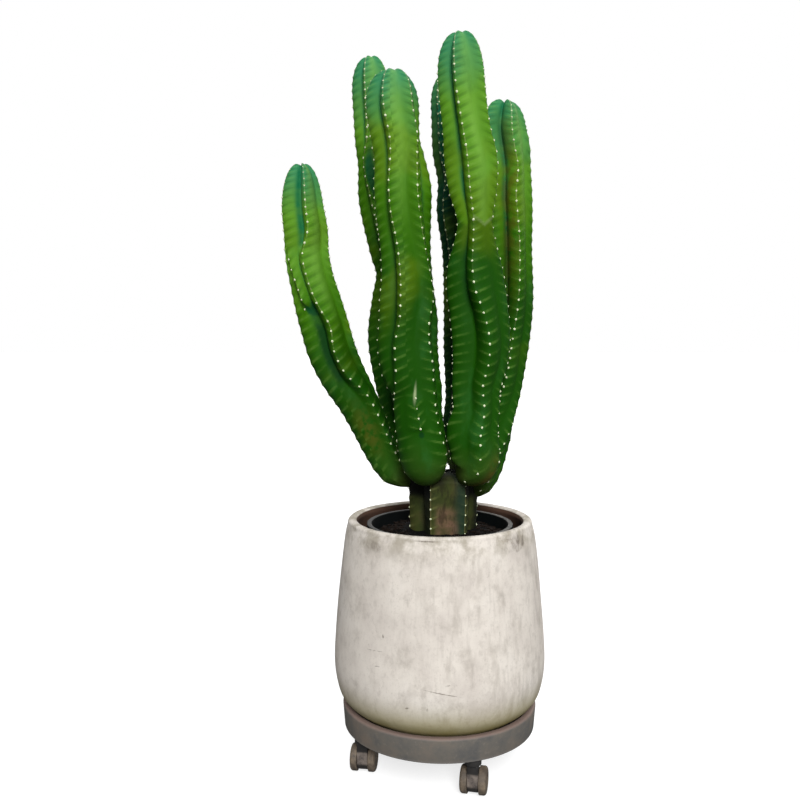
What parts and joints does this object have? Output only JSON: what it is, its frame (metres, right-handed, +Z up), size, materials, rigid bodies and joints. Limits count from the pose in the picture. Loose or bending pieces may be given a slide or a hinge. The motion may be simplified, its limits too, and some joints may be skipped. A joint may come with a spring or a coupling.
{
  "type": "potted tall cactus",
  "caption": "Tall ribbed columnar cactus on a short trunk, in a tapered cement planter on a round wheeled plant caddy.",
  "frame": {"origin": "on the floor, under the middle of the box that holds the whole plant, pot and caddy", "axes": "+Z up, along the height of the plant; -Y toward the front, the side that the picture shows; +X to its right"},
  "size_m": [0.494, 0.401, 1.348],
  "materials": {
    "planter_cement": "matt whitewashed fibre cement, blotched and streaked with grey, olive stain round the foot",
    "pot_plastic": "satin black moulded plastic with a dusty rim",
    "potting_soil": "rough dark potting mix of bark and peat",
    "trunk_skin": "olive green skin with brown corky scars",
    "stem_skin": "waxy green skin, blue-green at the tips, darker below, with cream woolly areoles along the ribs",
    "caddy_plastic": "dusty grey-brown moulded plastic",
    "wheel_plastic": "taupe moulded plastic, scuffed on the tread",
    "housing_plastic": "dark grey moulded plastic",
    "pin_steel": "plain drawn steel"
  },
  "bodies": {
    "pot_and_plant": {"plant_caddy": "caddy_plastic", "planter": "planter_cement", "nursery_pot": "pot_plastic", "soil": "potting_soil", "trunk": "trunk_skin", "stem_left": "stem_skin", "stem_back_left": "stem_skin", "stem_front_left": "stem_skin", "stem_front": "stem_skin", "stem_back": "stem_skin", "stem_right": "stem_skin"},
    "caster_front_swivel": {"caster_front_pin": "pin_steel", "caster_front_housing": "housing_plastic"},
    "caster_front_wheels": {"caster_front_axle": "pin_steel", "caster_front_wheel_right": "wheel_plastic", "caster_front_wheel_left": "wheel_plastic"},
    "caster_right_swivel": {"caster_right_pin": "pin_steel", "caster_right_housing": "housing_plastic"},
    "caster_right_wheels": {"caster_right_axle": "pin_steel", "caster_right_wheel_right": "wheel_plastic", "caster_right_wheel_left": "wheel_plastic"},
    "caster_back_swivel": {"caster_back_pin": "pin_steel", "caster_back_housing": "housing_plastic"},
    "caster_back_wheels": {"caster_back_axle": "pin_steel", "caster_back_wheel_right": "wheel_plastic", "caster_back_wheel_left": "wheel_plastic"},
    "caster_left_swivel": {"caster_left_pin": "pin_steel", "caster_left_housing": "housing_plastic"},
    "caster_left_wheels": {"caster_left_axle": "pin_steel", "caster_left_wheel_right": "wheel_plastic", "caster_left_wheel_left": "wheel_plastic"}
  },
  "joints": [
    {"name": "caster_front_turn", "type": "hinge", "parent": "pot_and_plant", "child": "caster_front_swivel", "pos_m": [0.10053, -0.14847, 0.06], "axis": [0, 0, 1], "continuous": true},
    {"name": "caster_front_roll", "type": "hinge", "parent": "caster_front_swivel", "child": "caster_front_wheels", "pos_m": [0.10345, -0.13581, 0.025], "axis": [0.9744, -0.225, 0], "continuous": true},
    {"name": "caster_right_turn", "type": "hinge", "parent": "pot_and_plant", "child": "caster_right_swivel", "pos_m": [0.19083, 0.06426, 0.06], "axis": [0, 0, 1], "continuous": true},
    {"name": "caster_right_roll", "type": "hinge", "parent": "caster_right_swivel", "child": "caster_right_wheels", "pos_m": [0.17861, 0.06871, 0.025], "axis": [0.342, 0.9397, 0], "continuous": true},
    {"name": "caster_back_turn", "type": "hinge", "parent": "pot_and_plant", "child": "caster_back_swivel", "pos_m": [-0.00755, 0.14847, 0.06], "axis": [0, 0, 1], "continuous": true},
    {"name": "caster_back_roll", "type": "hinge", "parent": "caster_back_swivel", "child": "caster_back_wheels", "pos_m": [-0.01444, 0.13745, 0.025], "axis": [-0.848, 0.5299, 0], "continuous": true},
    {"name": "caster_left_turn", "type": "hinge", "parent": "pot_and_plant", "child": "caster_left_swivel", "pos_m": [-0.09785, -0.06426, 0.06], "axis": [0, 0, 1], "continuous": true},
    {"name": "caster_left_roll", "type": "hinge", "parent": "caster_left_swivel", "child": "caster_left_wheels", "pos_m": [-0.09582, -0.05142, 0.025], "axis": [0.9877, -0.1564, 0], "continuous": true}
  ]
}
